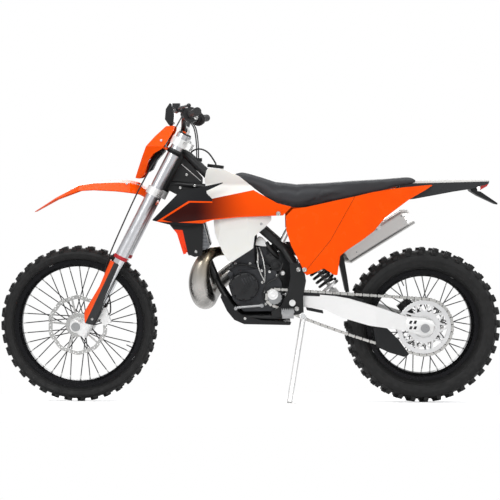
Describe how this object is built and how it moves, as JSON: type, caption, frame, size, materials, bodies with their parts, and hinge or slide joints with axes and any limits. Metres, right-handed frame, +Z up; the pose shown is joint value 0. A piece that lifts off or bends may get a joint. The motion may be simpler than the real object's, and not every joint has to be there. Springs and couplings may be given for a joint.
{
  "type": "enduro motorcycle",
  "caption": "Off-road motorcycle with a long-travel fork, knobby tyres, wire wheels, high fenders and a flat seat, leaning on its side stand.",
  "frame": {"origin": "on the floor under the middle of the whole parked bike", "axes": "+X forwards, +Y to the rider's left, +Z up; the bike leans 9 degrees to its left"},
  "size_m": [2.167, 0.8706, 1.3309],
  "materials": {
    "bare_steel": "satin",
    "black_engine": "satin",
    "black_metal": "satin",
    "black_plastic": "satin",
    "cast_aluminium": "satin",
    "chain_steel": "satin",
    "chrome_tube": "polished",
    "clear_tank_plastic": "satin",
    "dark_aluminium": "satin",
    "fabric_cover": "matte",
    "grip_rubber": "matte",
    "lamp_lens": "glossy",
    "orange_plastic": "glossy",
    "pipe_steel": "satin",
    "radiator_core": "satin",
    "red_lens": "glossy",
    "tyre_rubber": "matte",
    "white_spring": "glossy"
  },
  "bodies": {
    "chassis": {"airbox": "black_plastic", "chain": "chain_steel", "chain_guide": "black_plastic", "crankcase": "dark_aluminium", "cylinder": "dark_aluminium", "engine_covers": "black_engine", "exhaust_pipe": "pipe_steel", "foot_controls": "bare_steel", "frame_cradle": "black_metal", "frame_spine": "black_metal", "front_sprocket": "bare_steel", "fuel_cap": "black_plastic", "fuel_tank": "clear_tank_plastic", "intake": "black_plastic", "plate_holder": "black_plastic", "radiator_covers": "black_plastic", "radiators": "radiator_core", "rear_axle": "bare_steel", "rear_caliper": "black_engine", "rear_fender": "black_plastic", "seat_pad": "fabric_cover", "shock_body": "cast_aluminium", "shock_spring": "white_spring", "shrouds": "orange_plastic", "side_panels": "orange_plastic", "silencer": "cast_aluminium", "skid_plate": "black_plastic", "stand_bracket": "bare_steel", "subframe": "cast_aluminium", "swingarm": "cast_aluminium", "tail_lamp": "red_lens", "vent_hose": "grip_rubber"},
    "front_wheel": {"front_tyre": "tyre_rubber", "front_rim": "black_metal", "front_spokes": "bare_steel", "front_hub": "cast_aluminium", "front_disc": "bare_steel"},
    "rear_wheel": {"rear_tyre": "tyre_rubber", "rear_rim": "black_metal", "rear_spokes": "bare_steel", "rear_hub": "cast_aluminium", "rear_sprocket": "bare_steel", "rear_disc": "bare_steel"},
    "side_stand": {"side_stand": "cast_aluminium"},
    "steering": {"fork_tubes": "cast_aluminium", "fork_sliders": "chrome_tube", "fork_feet": "cast_aluminium", "fork_guards": "black_plastic", "front_axle": "bare_steel", "front_caliper": "black_engine", "lower_clamp": "cast_aluminium", "upper_clamp": "cast_aluminium", "handlebar": "black_metal", "grips": "grip_rubber", "hand_controls": "black_engine", "front_fender": "orange_plastic", "headlight_mask": "orange_plastic", "headlamp": "lamp_lens", "instrument": "black_plastic", "brake_hose": "grip_rubber"}
  },
  "joints": [
    {"name": "steering", "type": "hinge", "parent": "chassis", "child": "steering", "pos_m": [0.33331, -0.03996, 1.00222], "axis": [-0.458, 0.139, 0.878], "range_deg": [-42, 42]},
    {"name": "front_wheel_spin", "type": "hinge", "parent": "steering", "child": "front_wheel", "pos_m": [0.7435, -0.145, 0.33875], "axis": [-0.0001, 0.9877, -0.1564], "continuous": true},
    {"name": "rear_wheel_spin", "type": "hinge", "parent": "chassis", "child": "rear_wheel", "pos_m": [-0.7465, -0.14546, 0.33692], "axis": [-0.0001, 0.9877, -0.1564], "continuous": true},
    {"name": "side_stand", "type": "hinge", "parent": "chassis", "child": "side_stand", "pos_m": [-0.22732, 0.00239, 0.36232], "axis": [0.1123, 0.963, 0.245], "range_deg": [0, 130.6]}
  ]
}
